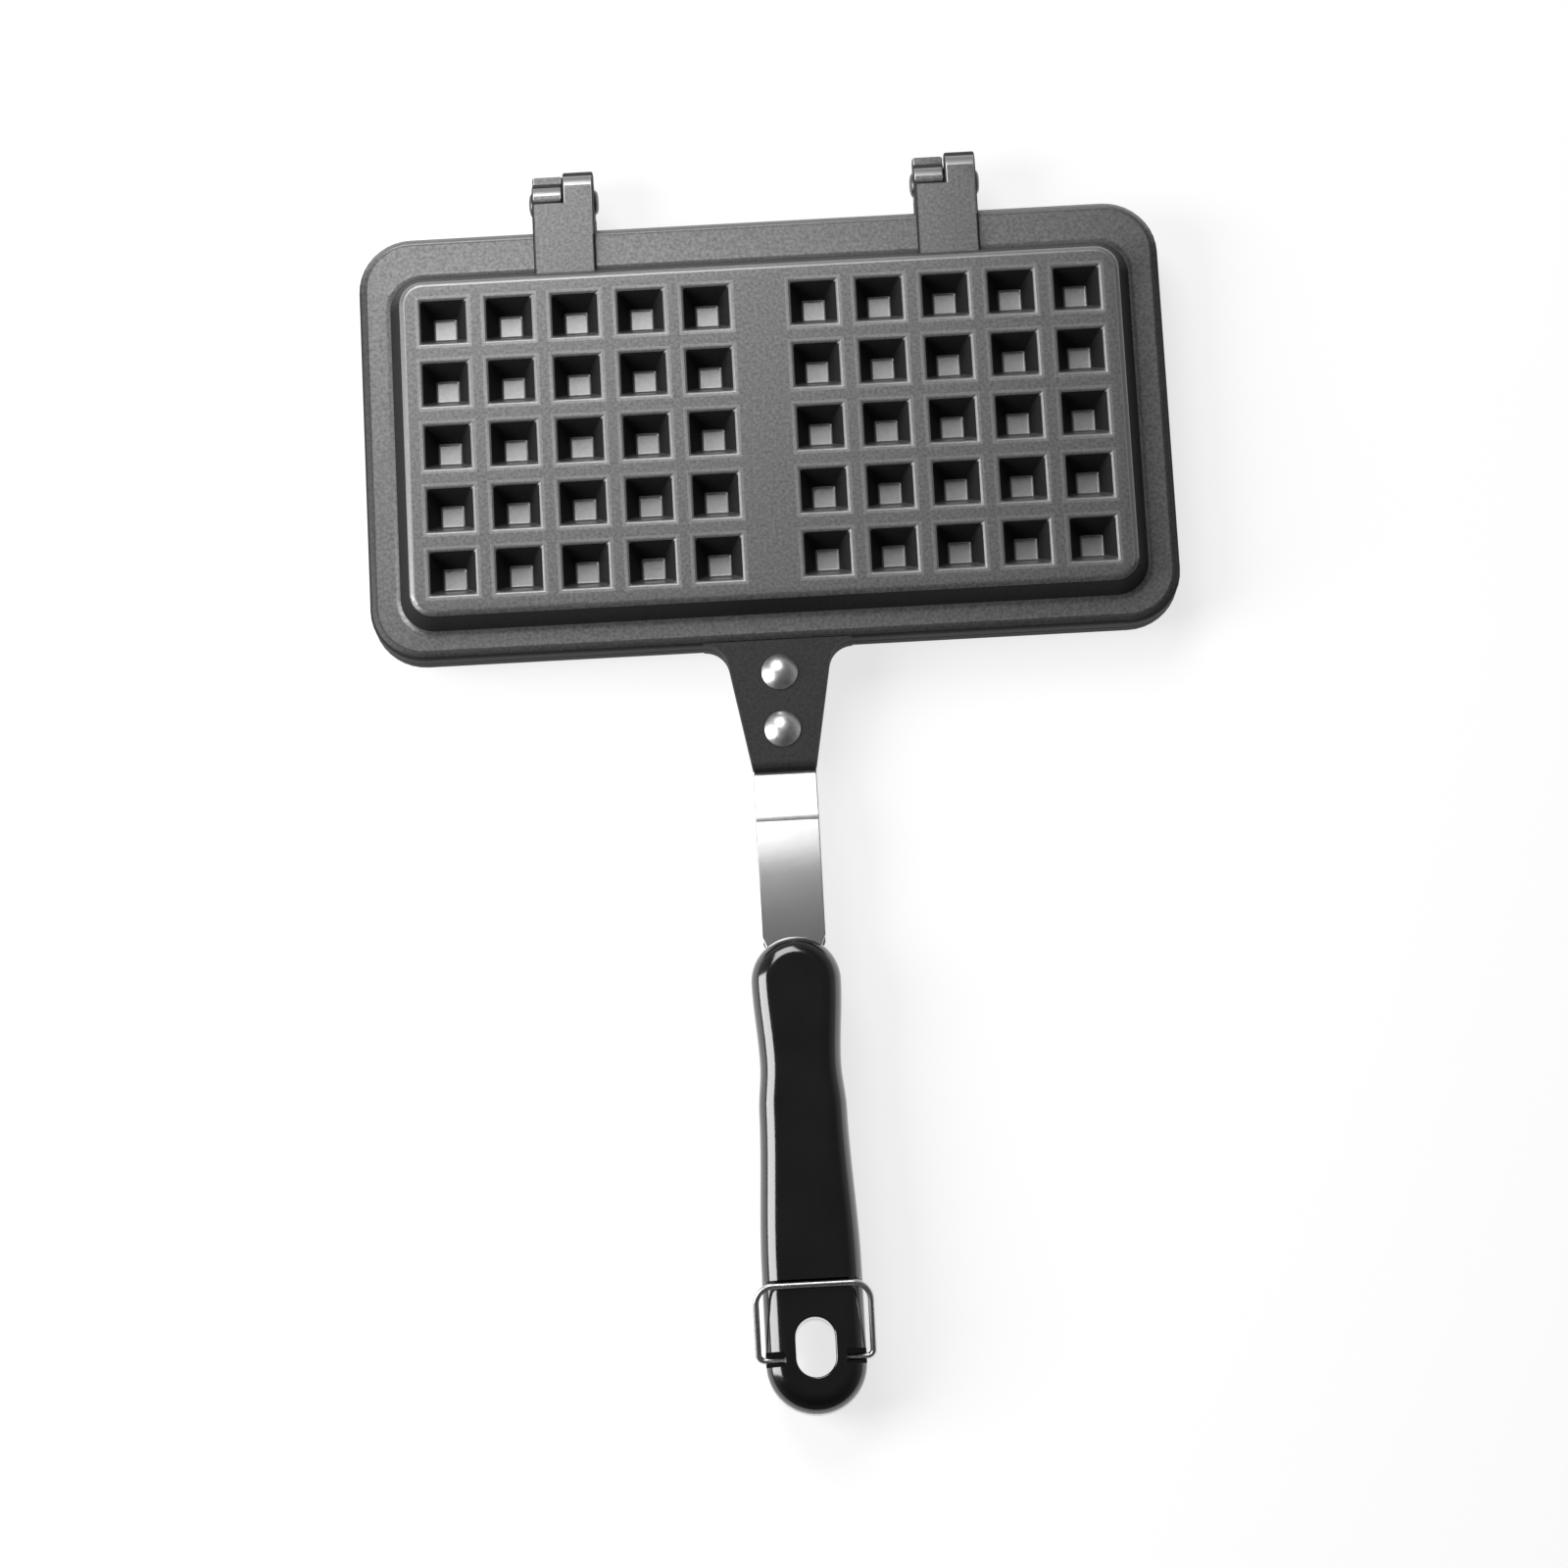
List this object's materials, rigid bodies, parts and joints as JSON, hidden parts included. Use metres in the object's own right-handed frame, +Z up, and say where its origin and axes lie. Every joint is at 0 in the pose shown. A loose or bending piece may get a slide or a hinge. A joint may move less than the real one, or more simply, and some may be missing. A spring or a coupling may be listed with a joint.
{
  "type": "stovetop waffle iron",
  "caption": "Hinged stovetop waffle iron: cast plates with square waffle pits, riveted steel straps, moulded grips with hang holes and a wire bail that holds them shut.",
  "frame": {"origin": "centre of the lower plate's outer face, on which the closed iron stands", "axes": "+Y from the grips towards the hinge, +Z up through both plates, +X to the right seen from the grips"},
  "size_m": [0.2326, 0.3634, 0.027],
  "materials": {
    "plate": "cast aluminium under a dark grey non-stick coating, satin",
    "strap": "rolled stainless strap, satin",
    "rivet": "bright domed heads",
    "grip": "black phenolic moulding, glossy",
    "screw": "zinc plated",
    "pin": "drawn and peened",
    "wire": "bright plated wire"
  },
  "bodies": {
    "lower_half": {"lower_plate": "plate", "lower_strap": "strap", "lower_rivets": "rivet", "lower_grip": "grip", "lower_grip_screw": "screw", "hinge_pin_left": "pin", "hinge_pin_right": "pin"},
    "upper_half": {"upper_plate": "plate", "upper_strap": "strap", "upper_rivets": "rivet", "upper_grip": "grip", "upper_grip_screw": "screw"},
    "bail": {"latch_bail": "wire"}
  },
  "joints": [
    {"name": "lid_hinge", "type": "hinge", "parent": "lower_half", "child": "upper_half", "pos_m": [0, 0.07537, 0.0135], "axis": [-1, 0, 0], "range_deg": [0, 102]},
    {"name": "bail_pivot", "type": "hinge", "parent": "upper_half", "child": "bail", "pos_m": [0, -0.26417, 0.0177], "axis": [1, 0, 0], "range_deg": [0, 296.8]}
  ]
}
